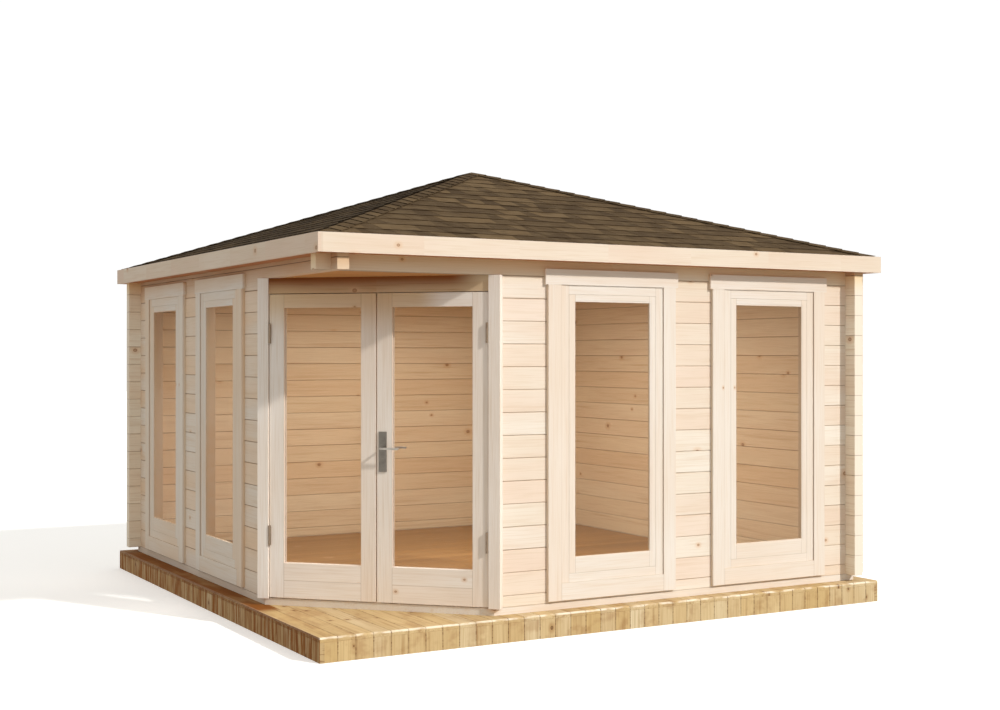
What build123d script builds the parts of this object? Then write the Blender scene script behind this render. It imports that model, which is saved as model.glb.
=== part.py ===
from build123d import *
import math
import os

# Five-cornered garden cabin of stacked logs, with a pyramid roof, on a low timber deck.
# Millimetres, +Z up. The origin is on the ground under the middle of the deck.
# The front wall faces -Y, the left wall faces -X, and the double door closes the corner
# between them, which is cut off at 45 degrees.

# Overall sizes
wall_size = 3840.0
corner_cut = 1032.0
log_height = 135.0
log_thick = 70.0
courses = 15
log_overhang = 90.0
base_height = 42.0

# Log profile: tongue on top, groove below, small chamfer along each arris
arris = 4.0
tongue_width = 24.0
tongue_height = 8.0
groove_play = 0.4

# Deck
deck_margin = 114.0
deck_height = 140.0
deck_board = 28.0
deck_round = 12.0
skirt_thick = 28.0
joist_width = 45.0
joist_count = 7

# Floor inside
floor_board = 20.0
bearer_width = 45.0
bearer_count = 7
floor_gap = 5.0
floor_drop = 2.0

# Roof
plate_height = 40.0
roof_pitch = 18.3
rafter_heel = 93.0
rafter_width = 45.0
rafter_depth = 120.0
hip_width = 60.0
rafter_spacing = 610.0
rafters_each_side = 2
king_block_size = 150.0
king_block_drop = 40.0
roof_board = 19.0
shingle_layer = 8.0
hip_cap_width = 230.0
hip_cap_thick = 4.0
eaves = 130.0
fascia_thick = 22.0
fascia_height = 108.0
fascia_drop = 19.0
soffit_board = 16.0
soffit_rise = 2.0
ceiling_board = 16.0
ceiling_depth = 105.0

# Windows
window_centres = (-58.0, 1175.0)
window_opening = 782.0
settling_gap = 33.0
jamb_width = 71.0
sill_height = 102.0
sash_gap = 3.0
sash_stile = 43.0
sash_top = 41.0
sash_bottom = 99.0
sash_thick = 45.0
sash_setback = 4.0
casing_width = 93.0
casing_thick = 22.0
casing_lap = 15.0
casing_drop = 54.5
sill_board_rise = 48.5
head_lap = 19.0
glass_thick = 4.0
glass_depth = 20.0
glass_bite = 9.0

# Double door
leaf_thick = 44.0
leaf_gap = 5.0
leaf_face = 8.0
meeting_gap = 8.0
post_lap = 40.3
post_width = 70.0
post_proud = 19.0
stop_width = 15.0
header_height = 95.0
leaf_bottom_gap = 8.0
leaf_stile = 95.0
leaf_top_rail = 83.0
leaf_kick_board = 106.0

# Hinges
hinge_radius = 8.0
hinge_pin = 4.0
hinge_play = 0.3
hinge_length = 120.0
hinge_set = 9.0
hinge_from_bottom = 378.0
hinge_from_top = 239.5
pin_cover = 10.0
tang_width = 4.0

# Lock
lock_backset = 36.7
lock_plate_width = 48.0
lock_plate_height = 240.0
lock_plate_thick = 6.0
lock_plate_middle = 951.0
lever_height = 972.0
keyhole_height = 901.0
lever_length = 118.0
lever_reach = 46.0
lever_radius = 6.0
lever_thick = 9.0
spindle_play = 0.4
key_radius = 9.0
spindle_radius = 4.0

# Hairline play between pieces that rest on each other
seat = 0.3

# Worked out from the sizes above
half = wall_size / 2
inner = half - log_thick
quarter = log_height / 4
base_top = deck_height + base_height
wall_top = base_top + courses * log_height
beam_bottom = wall_top - log_height / 2
plate_top = wall_top + plate_height
plate_lap = wall_top + plate_height / 2
fascia_low = plate_top - fascia_drop
soffit_low = fascia_low + soffit_rise
slope = math.tan(math.radians(roof_pitch))
upright = 1 / math.cos(math.radians(roof_pitch))
roof_edge = half + eaves
board_edge = roof_edge - fascia_thick
door_plane = (wall_size - corner_cut) / math.sqrt(2)
post_side = corner_cut / math.sqrt(2) + post_lap
door_half = post_side - post_width
leaf_width = door_half - leaf_gap - meeting_gap / 2
leaf_bottom = base_top + leaf_bottom_gap
leaf_top = beam_bottom - header_height - leaf_gap
window_low = base_top + log_height / 2
window_high = beam_bottom - settling_gap
deck_half = half + deck_margin


def block(x0, x1, y0, y1, z0, z1):
    """Box between two corners."""
    centre = Pos((x0 + x1) / 2, (y0 + y1) / 2, (z0 + z1) / 2)
    return centre * Box(x1 - x0, y1 - y0, z1 - z0)


def plan_prism(points, z0, z1):
    """Upright prism over an outline in plan."""
    outline = make_face(Polyline(*points, close=True))
    return Pos(0, 0, z0) * extrude(outline, z1 - z0, dir=(0, 0, 1))


def along_x(points, x0, x1):
    """Bar along X with a section given as (y, z) points."""
    section = make_face(Polyline(*[(x0, y, z) for y, z in points], close=True))
    return extrude(section, x1 - x0, dir=(1, 0, 0))


def turned(shape, quarter_turns):
    """Shape turned about the middle of the cabin by quarter turns."""
    return Rot(0, 0, 90 * quarter_turns) * shape


def in_corner(shape):
    """Shape built as if in the front wall, placed in the cut corner instead."""
    return Rot(0, 0, -45) * shape


def save(name, solids):
    """One file for each named sub-part."""
    flat = []
    for solid in solids:
        flat.extend(solid.solids())
    shape = flat[0] if len(flat) == 1 else Compound(children=flat)
    shape.label = name
    export_step(shape, os.path.join("parts", name + ".step"))


def log_section(height, has_tongue, has_groove):
    """Section of a log as (y, z) points from its lower outer arris, y inward."""
    top = height - seat
    mid = log_thick / 2
    half_tongue = tongue_width / 2
    half_groove = half_tongue + groove_play
    depth = tongue_height + groove_play
    points = [(arris, 0)]
    if has_groove:
        points += [(mid - half_groove, 0), (mid - half_groove, depth)]
        points += [(mid + half_groove, depth), (mid + half_groove, 0)]
    points += [(log_thick - arris, 0), (log_thick, arris)]
    points += [(log_thick, top - arris), (log_thick - arris, top)]
    if has_tongue:
        points += [(mid + half_tongue, top), (mid + half_tongue, top + tongue_height)]
        points += [(mid - half_tongue, top + tongue_height), (mid - half_tongue, top)]
    points += [(arris, top), (0, top - arris), (0, arris)]
    return points


def log(x0, x1, z0, height, has_tongue=True, has_groove=True):
    """Log of the front wall from x0 to x1, its underside at z0."""
    section = log_section(height, has_tongue, has_groove)
    return along_x([(y - half, z + z0) for y, z in section], x0, x1)


def notch(x_mid_low, z0, z1):
    """Space cut from a log where a log of the next wall crosses it."""
    return block(x_mid_low - seat, x_mid_low + log_thick + seat, -half - 1, -inner + 1, z0, z1)


def notched(bar, corners, z0, height, below, above):
    """Log with its crossing notches: a quarter of a full log from below and above."""
    top = z0 + height
    for x_low in corners:
        if below:
            bar -= notch(x_low, z0 - 1, z0 + quarter + seat / 2)
        if above:
            bar -= notch(x_low, top - quarter - seat / 2, top + tongue_height + 1)
    return bar


def notched_log(x0, x1, corners, z0, height, first, last, half_first):
    """Notched log whose tongue and groove stop at its crossings, so that its ends are plain."""
    lows = [low for low in corners if low < 0]
    highs = [low for low in corners if low > 0]
    a = max(lows) + log_thick / 2 if lows else x0
    b = min(highs) + log_thick / 2 if highs else x1
    bar = log(a, b, z0, height, not last, not first)
    if lows:
        bar += log(x0, a, z0, height, False, False)
    if highs:
        bar += log(b, x1, z0, height, False, False)
    below = not (first and half_first)
    above = not (last and half_first)
    return notched(bar, corners, z0, height, below, above)


def rows(half_first):
    """Courses of one wall as (underside, height). With half_first, the lowest is half a log and
    the highest reaches from half a log below the wall top to the top of the wall plates."""
    if not half_first:
        return [(base_top + k * log_height, log_height) for k in range(courses)]
    middle = [(base_top + (k + 0.5) * log_height, log_height) for k in range(courses - 1)]
    return [(base_top, log_height / 2)] + middle + [(beam_bottom, plate_top - beam_bottom)]


right_crossing = inner
left_crossing = -half
stub_end = half + log_overhang
window_spans = [(c - window_opening / 2, c + window_opening / 2) for c in window_centres]


def under_eaves(bar):
    """Bar at the wall top, its ends beyond the walls cut down to pass under the soffit."""
    for side in (-1, 1):
        reach = sorted((side * half, side * (stub_end + 1)))
        bar -= block(*reach, -half - 1, -inner + 1, soffit_low - seat, plate_top + 1)
    return bar


def plate_notched(bar):
    """Top log of the front or back wall, let into the wall plates that cross it."""
    for x_low in (left_crossing, right_crossing):
        bar -= notch(x_low, plate_lap - seat / 2, plate_top + 1)
    return under_eaves(bar)


def wall_plate():
    """Wall plate, built as if on the front wall, with a notch over each log it crosses."""
    bar = block(-stub_end, stub_end, -half, -inner, wall_top + seat, plate_top)
    for x_low in (left_crossing, right_crossing):
        bar -= notch(x_low, wall_top, plate_lap + seat / 2)
    return under_eaves(bar)


def door_space(top):
    """Room taken by the door and its posts, up to this height."""
    side = post_side + seat
    return in_corner(block(-side, side, -2 * half, -half / 2, deck_height - 1, top))


post_space = door_space(beam_bottom)
pier_space = door_space(wall_top)


def plain_wall(half_first):
    """Logs of a wall with no opening, crossing a wall at both ends."""
    result = []
    courses_here = rows(half_first)
    for k, (z0, height) in enumerate(courses_here):
        first = k == 0
        last = k == len(courses_here) - 1
        bar = notched_log(-stub_end, stub_end, (left_crossing, right_crossing), z0, height,
                          first, last, half_first)
        result.append(plate_notched(bar) if last and half_first else bar)
    return result


def window_wall(half_first):
    """Piers and long logs of a wall with two windows, its far end crossing the next wall."""
    piers = {"door_pier": [], "middle_pier": [], "far_pier": []}
    long_logs = []
    (near_x0, near_x1), (far_x0, far_x1) = window_spans
    cuts = [(-half, near_x0 - seat), (near_x1 + seat, far_x0 - seat), (far_x1 + seat, stub_end)]
    courses_here = rows(half_first)
    for k, (z0, height) in enumerate(courses_here):
        first = k == 0
        last = k == len(courses_here) - 1
        if not first and not last:
            for name, (x0, x1) in zip(piers, cuts):
                crossings = (right_crossing,) if name == "far_pier" else ()
                bar = notched_log(x0, x1, crossings, z0, height, False, False, half_first)
                if name == "door_pier":
                    bar -= pier_space
                piers[name].append(bar)
            continue
        start = -stub_end if last else -half
        bar = notched_log(start, stub_end, (right_crossing,), z0, height, first, last, half_first)
        if first:
            bar -= pier_space
        if first or not half_first:
            low = window_low - seat if first else z0 - 1
            high = z0 + height + tongue_height + 1 if first else beam_bottom
            for x0, x1 in window_spans:
                bar -= block(x0 - seat, x1 + seat, -half - 1, -inner + 1, low, high)
        if last and half_first:
            bar -= notch(left_crossing, beam_bottom - 1, beam_bottom + quarter + seat / 2)
            bar = plate_notched(bar)
        if last and not half_first:
            bar -= post_space
            bar -= notch(left_crossing, wall_top - quarter - seat / 2, wall_top + 1)
        long_logs.append(bar)
    return piers, long_logs


def across(shape):
    """The same shape on the left wall: the cabin mirrors about the middle of the door."""
    return mirror(shape, about=Plane(origin=(0, 0, 0), z_dir=(1, -1, 0)))


def ring(outer, inside, z0, z1):
    """Mitred timbers round an outline, from its outer and inner corners."""
    pieces = []
    count = len(outer)
    for k in range(count):
        a, b = Vector(*outer[k]), Vector(*outer[(k + 1) % count])
        c, d = Vector(*inside[(k + 1) % count]), Vector(*inside[k])
        pull = (b - a).normalized() * (seat / 2)
        corners = [a + pull, b - pull, c - pull, d + pull]
        pieces.append(plan_prism([(p.X, p.Y) for p in corners], z0, z1))
    return pieces


def square(r):
    """Corners of a square of half-width r."""
    return [(-r, -r), (r, -r), (r, r), (-r, r)]


def pentagon(inset):
    """Corners of the cabin's outline, moved in from the outer wall faces."""
    r = half - inset
    cut = r - math.sqrt(2) * (door_plane - inset)
    return [(cut, -r), (r, -r), (r, r), (-r, r), (-r, cut)]


def wedge(gap):
    """The front quarter of the plan, kept this far from the hip lines."""
    far = 2 * roof_edge
    off = gap * math.sqrt(2)
    return plan_prism([(0, -off), (far, -far - off), (-far, -far - off)], 0, 2 * wall_top)


def board_under(r):
    """Height of the underside of the roof boards at a distance from the middle."""
    return plate_top + rafter_heel + (half - r) * slope


def roof_slab(low, thick, gap):
    """Sloping layer of the front roof quarter, this far above the boards' underside."""
    edge = board_edge - seat
    z_edge = board_under(edge) + low * upright
    z_mid = board_under(0) + low * upright
    rise = thick * upright
    section = [(-edge, z_edge), (-edge, z_edge + rise), (0, z_mid + rise), (0, z_mid)]
    return along_x(section, -roof_edge, roof_edge) & wedge(gap)


def rafter_section(outer_end, inner_end, fall, top_drop):
    """Side outline of a rafter as (y, z) points, with a level seat on the wall plate."""
    foot = plate_top + seat
    depth = rafter_depth * upright
    top_mid = plate_top + rafter_heel + half * slope
    seat_end = (top_mid - depth - foot) / fall
    return [(-outer_end, foot), (-outer_end, top_mid - outer_end * fall - top_drop),
            (-inner_end, top_mid - inner_end * fall - top_drop),
            (-inner_end, top_mid - inner_end * fall - depth), (-seat_end, foot)]


def jack_rafters():
    """Rafters of one roof quarter, cut where they meet the hip rafters."""
    section = rafter_section(board_edge - seat, king_block_size / 2 + seat, slope, seat)
    pieces = []
    for k in range(-rafters_each_side, rafters_each_side + 1):
        x = k * rafter_spacing
        bar = along_x(section, x - rafter_width / 2, x + rafter_width / 2)
        pieces.append(bar & wedge(hip_width / 2 + seat))
    return pieces


def hip_rafter():
    """Hip rafter running to the near corner, its top just under the roof boards."""
    fall = slope / math.sqrt(2)
    drop = hip_width / 2 * fall + 2 * seat
    outer_end = board_edge * math.sqrt(2) - hip_width / 2 - 2 * seat
    section = rafter_section(outer_end, king_block_size / 2 + seat, fall, drop)
    return in_corner(along_x(section, -hip_width / 2, hip_width / 2))


def hip_cap():
    """Folded strip over the hip that runs to the near corner."""
    low = roof_board + shingle_layer + 2 * seat
    front = roof_slab(low, hip_cap_thick, 0)
    both = front + turned(front, -1)
    reach = 2 * roof_edge
    strip = block(-hip_cap_width / 2, hip_cap_width / 2, -reach, 0, 0, 2 * wall_top)
    return both & in_corner(strip) & in_corner(wedge(seat / 2))


def framed(x0, x1, z0, z1, face, thick, stile, top_rail, bottom_rails):
    """Stiles and rails round one pane, and the pane in its slot."""
    y0 = face
    y1 = face + thick
    pieces = [block(x0, x0 + stile, y0, y1, z0, z1), block(x1 - stile, x1, y0, y1, z0, z1)]
    rail_x0 = x0 + stile + seat
    rail_x1 = x1 - stile - seat
    pieces.append(block(rail_x0, rail_x1, y0, y1, z1 - top_rail, z1))
    low = z0
    for height in bottom_rails:
        pieces.append(block(rail_x0, rail_x1, y0, y1, low, low + height - seat))
        low += height
    pane_x0 = x0 + stile - glass_bite
    pane_x1 = x1 - stile + glass_bite
    pane_z0 = low - seat - glass_bite
    pane_z1 = z1 - top_rail + glass_bite
    pane_y0 = face + glass_depth
    pane_y1 = pane_y0 + glass_thick
    pane = block(pane_x0, pane_x1, pane_y0, pane_y1, pane_z0, pane_z1)
    slot = block(pane_x0 - seat, pane_x1 + seat, pane_y0 - seat, pane_y1 + seat,
                 pane_z0 - seat, pane_z1 + seat)
    return [piece - slot for piece in pieces], pane


def window_casing(c):
    """Boards round a window on the outer wall face."""
    reveal = window_opening / 2 - casing_lap
    outer = reveal + casing_width
    y0 = -half - casing_thick
    y1 = -half - seat
    bottom = window_low - casing_drop
    head = window_high - casing_lap
    lap = outer + head_lap
    return [
        block(c - outer, c - reveal, y0, y1, bottom, head - seat),
        block(c + reveal, c + outer, y0, y1, bottom, head - seat),
        block(c - reveal + seat, c + reveal - seat, y0, y1, bottom, window_low + sill_board_rise),
        block(c - lap, c + lap, y0, y1, head, head + casing_width),
    ]


def window_frame(c):
    """Fixed frame of a window in its wall opening."""
    outer = window_opening / 2
    y0 = -half
    y1 = -inner
    z0 = window_low
    z1 = window_high
    sill_top = z0 + sill_height
    head_low = z1 - jamb_width
    return [
        block(c - outer, c + outer, y0, y1, z0, sill_top),
        block(c - outer, c + outer, y0, y1, head_low, z1),
        block(c - outer, c - outer + jamb_width, y0, y1, sill_top + seat, head_low - seat),
        block(c + outer - jamb_width, c + outer, y0, y1, sill_top + seat, head_low - seat),
    ]


def window_sash(c):
    """Sash of a window and its pane."""
    reach = window_opening / 2 - jamb_width - sash_gap
    z0 = window_low + sill_height + seat
    z1 = window_high - jamb_width - sash_gap
    return framed(c - reach, c + reach, z0, z1, -half + sash_setback, sash_thick, sash_stile,
                  sash_top, [sash_bottom])


frame_front = -(door_plane + post_proud)
frame_back = -(math.sqrt(2) * inner - post_side)
header_low = beam_bottom - header_height


def door_post():
    """Right door post in the cut corner."""
    return block(door_half, post_side, frame_front, frame_back, base_top + seat,
                 beam_bottom - seat)


def door_header():
    """Head of the door frame."""
    reach = door_half - seat
    return block(-reach, reach, -(door_plane + leaf_face), frame_back, header_low,
                 beam_bottom - seat)


def door_stops():
    """Laths behind the leaves, on the right post and under the header."""
    y0 = -(door_plane + leaf_face) + leaf_thick + leaf_gap
    side = door_half - stop_width
    upright_lath = block(side, door_half - seat, y0, frame_back, base_top + seat,
                         header_low - seat)
    head_lath = block(-side + seat, side - seat, y0, frame_back, header_low - stop_width,
                      header_low - seat)
    return upright_lath, head_lath


def right_leaf():
    """Stiles, rails and pane of the right leaf."""
    x0 = meeting_gap / 2
    face = -(door_plane + leaf_face)
    pieces, pane = framed(x0, x0 + leaf_width, leaf_bottom, leaf_top, face, leaf_thick, leaf_stile,
                          leaf_top_rail, [leaf_kick_board, leaf_kick_board])
    return pieces, pane


def upright_rod(x, y, z0, z1, radius):
    """Round rod standing at a place in plan."""
    return Pos(x, y, (z0 + z1) / 2) * Cylinder(radius, z1 - z0)


def level_rod(x, y0, y1, z, radius):
    """Round rod lying along Y."""
    return Pos(x, (y0 + y1) / 2, z) * Rot(90, 0, 0) * Cylinder(radius, y1 - y0)


hinge_x = door_half - hinge_set
hinge_y = -(door_plane + leaf_face + hinge_set)
hinge_joint = hinge_length / 2
pin_reach = hinge_joint - pin_cover


def knuckle(tang_x, tang_y, z0, z1):
    """Hinge knuckle and its tang in one upright section."""
    tang = Pos((hinge_x + tang_x) / 2, (hinge_y + tang_y) / 2)
    width = abs(tang_x - hinge_x) or tang_width
    depth = abs(tang_y - hinge_y) or tang_width
    section = Pos(hinge_x, hinge_y) * Circle(hinge_radius) + tang * Rectangle(width, depth)
    return Pos(0, 0, z0) * extrude(section, z1 - z0)


def hinge_post_part(z):
    """Lower knuckle of a right-hand hinge with its pin and its tang on the post."""
    body = knuckle(door_half - seat, hinge_y, z - hinge_joint, z - hinge_play)
    return body + upright_rod(hinge_x, hinge_y, z - hinge_play, z + pin_reach, hinge_pin)


def hinge_leaf_part(z):
    """Upper knuckle of a right-hand hinge with its tang on the leaf."""
    face = -(door_plane + leaf_face)
    body = knuckle(hinge_x, face - seat, z, z + hinge_joint)
    bore = upright_rod(hinge_x, hinge_y, z - 1, z + pin_reach + hinge_play,
                       hinge_pin + hinge_play)
    return body - bore


lock_x = meeting_gap / 2 + lock_backset
outside_face = -(door_plane + leaf_face)
inside_face = outside_face + leaf_thick


def lock_plates():
    """Long plates on both faces of the meeting stile, and the key cylinder in each."""
    spindle_z = deck_height + lever_height
    key_z = deck_height + keyhole_height
    middle = deck_height + lock_plate_middle
    z0 = middle - lock_plate_height / 2
    z1 = middle + lock_plate_height / 2
    x0 = lock_x - lock_plate_width / 2
    x1 = lock_x + lock_plate_width / 2
    pieces = []
    for y_near, y_far in ((outside_face - seat, outside_face - seat - lock_plate_thick),
                          (inside_face + seat, inside_face + seat + lock_plate_thick)):
        low, high = sorted((y_near, y_far))
        plate = block(x0, x1, low, high, z0, z1)
        plate -= level_rod(lock_x, low - 1, high + 1, spindle_z, spindle_radius + spindle_play)
        plate -= level_rod(lock_x, low - 1, high + 1, key_z, key_radius + seat)
        pieces.append(plate)
        pieces.append(level_rod(lock_x, low, high, key_z, key_radius))
    return pieces


def lever_handle():
    """Levers on both faces of the leaf, on one spindle."""
    z = deck_height + lever_height
    gap = seat + lock_plate_thick + spindle_play
    outer_end = outside_face - gap - lever_reach
    inner_end = inside_face + gap + lever_reach
    neck_radius = lever_radius + 1
    outer_neck = level_rod(lock_x, outer_end + lever_thick / 2, outside_face - gap, z, neck_radius)
    inner_neck = level_rod(lock_x, inside_face + gap, inner_end - lever_thick / 2, z, neck_radius)
    spindle = level_rod(lock_x, outside_face - gap - 1, inside_face + gap + 1, z, spindle_radius)
    slot = SlotCenterToCenter(lever_length - lever_radius, 2 * lever_radius)
    outline = Plane.XZ * Pos(lock_x + (lever_length - lever_radius) / 2, z) * slot
    outer_grip = Pos(0, outer_end, 0) * extrude(outline, lever_thick, dir=(0, 1, 0))
    inner_grip = Pos(0, inner_end - lever_thick, 0) * extrude(outline, lever_thick, dir=(0, 1, 0))
    return spindle + outer_neck + inner_neck + outer_grip + inner_grip


def flipped(shape):
    """The same shape on the other side of the door's middle."""
    return mirror(shape, about=Plane.YZ)


os.makedirs("parts", exist_ok=True)

# Deck: boards as one slab with a rounded edge, upright skirts round it, joists below
skirt_top = deck_height - deck_board - seat
slab = block(-deck_half, deck_half, -deck_half, deck_half, deck_height - deck_board, deck_height)
slab = fillet(slab.edges().group_by(Axis.Z)[-1], deck_round)
save("deck_boards", [slab])
save("deck_skirts", ring(square(deck_half), square(deck_half - skirt_thick), 0, skirt_top))
joist_reach = deck_half - skirt_thick - seat
joist_span = joist_reach - joist_width / 2 - seat
joists = []
for k in range(joist_count):
    y = -joist_span + 2 * joist_span * k / (joist_count - 1)
    joists.append(block(-joist_reach, joist_reach, y - joist_width / 2, y + joist_width / 2, 0,
                        skirt_top))
save("deck_joists", joists)

# Base beams and floor
save("base_beams", ring(pentagon(0), pentagon(log_thick), deck_height + seat, base_top - seat))
floor_top = base_top - floor_drop
floor_low = floor_top - floor_board
save("floor_boards", [plan_prism(pentagon(log_thick + floor_gap), floor_low, floor_top)])
bearer_room = plan_prism(pentagon(log_thick + floor_gap), 0, floor_top)
bearers = []
bearer_span = inner - floor_gap - bearer_width / 2
for k in range(bearer_count):
    y = -bearer_span + 2 * bearer_span * k / (bearer_count - 1)
    bearer = block(-inner, inner, y - bearer_width / 2, y + bearer_width / 2,
                   deck_height + seat, floor_low - seat)
    bearers.append(bearer & bearer_room)
save("floor_bearers", bearers)

# Log walls
front_piers, front_long = window_wall(True)
left_piers, left_long = window_wall(False)
for name, logs in front_piers.items():
    save("front_wall_" + name, logs)
for name, logs in left_piers.items():
    save("left_wall_" + name, [across(bar) for bar in logs])
save("front_wall_long_logs", front_long)
save("left_wall_long_logs", [across(bar) for bar in left_long])
save("right_wall_logs", [turned(bar, 1) for bar in plain_wall(False)])
save("back_wall_logs", [turned(bar, 2) for bar in plain_wall(True)])
save("wall_plates", [turned(wall_plate(), 1), across(wall_plate())])

# Windows: the left wall repeats the front wall's
casings = []
frames = []
sashes = []
panes = []
for centre in window_centres:
    casings += window_casing(centre)
    frames += window_frame(centre)
    sash, pane = window_sash(centre)
    sashes += sash
    panes.append(pane)
for name, pieces in (("window_casings", casings), ("window_frames", frames),
                     ("window_sashes", sashes), ("window_glass", panes)):
    save("front_" + name, pieces)
    save("left_" + name, [across(piece) for piece in pieces])

# Door frame, leaves, hinges and lock
post = door_post()
save("door_posts", [in_corner(post), in_corner(flipped(post))])
save("door_header", [in_corner(door_header())])
side_lath, head_lath = door_stops()
save("door_stops", [in_corner(lath) for lath in (side_lath, flipped(side_lath), head_lath)])
leaf, leaf_pane = right_leaf()
spindle_bore = level_rod(lock_x, outside_face - 1, inside_face + 1, deck_height + lever_height,
                         spindle_radius + spindle_play)
save("left_leaf_frame", [in_corner(flipped(piece)) for piece in leaf])
save("left_leaf_glass", [in_corner(flipped(leaf_pane))])
save("right_leaf_frame", [in_corner(piece - spindle_bore) for piece in leaf])
save("right_leaf_glass", [in_corner(leaf_pane)])
hinge_levels = (leaf_bottom + hinge_from_bottom, leaf_top - hinge_from_top)
post_parts = [hinge_post_part(z) for z in hinge_levels]
leaf_parts = [hinge_leaf_part(z) for z in hinge_levels]
save("post_hinges", [in_corner(p) for p in post_parts] + [in_corner(flipped(p)) for p in post_parts])
save("right_leaf_hinges", [in_corner(p) for p in leaf_parts])
save("left_leaf_hinges", [in_corner(flipped(p)) for p in leaf_parts])
save("lock_plates", [in_corner(piece) for piece in lock_plates()])
save("lever_handle", [in_corner(lever_handle())])

# Porch ceiling under the roof corner
lip = -(inner - seat)
reach = math.sqrt(2) * (door_plane - ceiling_depth) + lip
save("porch_ceiling", [plan_prism([(lip, lip), (-reach, lip), (lip, -reach)], beam_bottom,
                                  beam_bottom + ceiling_board)])

# Roof frame
save("hip_rafters", [turned(hip_rafter(), k) for k in range(4)])
jacks = jack_rafters()
save("jack_rafters", [turned(bar, k) for k in range(4) for bar in jacks])
block_low = board_under(0) - rafter_depth * upright - king_block_drop
block_corner = king_block_size / 2 / math.cos(math.pi / 8)
block_top = board_under(block_corner) - seat
octagon = RegularPolygon(king_block_size / 2, 8, major_radius=False, rotation=22.5)
save("king_block", [Pos(0, 0, block_low) * extrude(octagon, block_top - block_low)])

# Roof covering and eaves
boards = roof_slab(0, roof_board, seat / 2)
save("roof_boards", [turned(boards, k) for k in range(4)])
felt = roof_slab(roof_board + seat, shingle_layer, seat / 2)
save("roof_shingles", [turned(felt, k) for k in range(4)])
save("hip_caps", [turned(hip_cap(), k) for k in range(4)])
save("fascias", ring(square(roof_edge), square(board_edge), fascia_low, fascia_low + fascia_height))
save("eaves_soffits", ring(square(board_edge - seat), square(half + seat), soffit_low,
                           soffit_low + soffit_board))
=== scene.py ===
import bmesh
import bpy
import math
import random
from mathutils import Matrix, Vector


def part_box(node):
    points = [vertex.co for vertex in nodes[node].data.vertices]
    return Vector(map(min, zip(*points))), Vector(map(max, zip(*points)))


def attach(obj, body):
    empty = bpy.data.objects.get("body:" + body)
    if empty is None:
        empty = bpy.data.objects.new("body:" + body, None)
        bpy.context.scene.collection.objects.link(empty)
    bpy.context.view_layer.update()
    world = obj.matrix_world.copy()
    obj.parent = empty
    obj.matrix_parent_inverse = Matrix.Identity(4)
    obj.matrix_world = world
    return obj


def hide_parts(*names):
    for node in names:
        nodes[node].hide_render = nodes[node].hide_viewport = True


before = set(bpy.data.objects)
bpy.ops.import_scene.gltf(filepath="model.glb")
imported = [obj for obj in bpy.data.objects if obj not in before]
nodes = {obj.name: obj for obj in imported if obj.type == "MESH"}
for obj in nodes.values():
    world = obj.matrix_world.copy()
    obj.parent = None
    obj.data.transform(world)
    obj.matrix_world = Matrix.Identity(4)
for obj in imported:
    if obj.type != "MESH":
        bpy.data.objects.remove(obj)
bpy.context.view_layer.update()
print("frame loaded with", len(nodes), "nodes")

# Places read from the frame, in metres. The middle of the cabin is at x = y = 0.
deckLow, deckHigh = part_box("deck_boards")
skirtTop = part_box("deck_skirts")[1].z
inner = -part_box("front_wall_door_pier")[1].y           # middle to the inner log faces
logThick = 0.070
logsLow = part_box("front_wall_long_logs")[0].z          # underside of the lowest log
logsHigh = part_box("right_wall_logs")[1].z
courses = 15
courseHeight = (logsHigh - logsLow) / courses
diagonal = math.sqrt(0.5)
beyond = 9.0                                           # farther out than any piece


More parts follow.
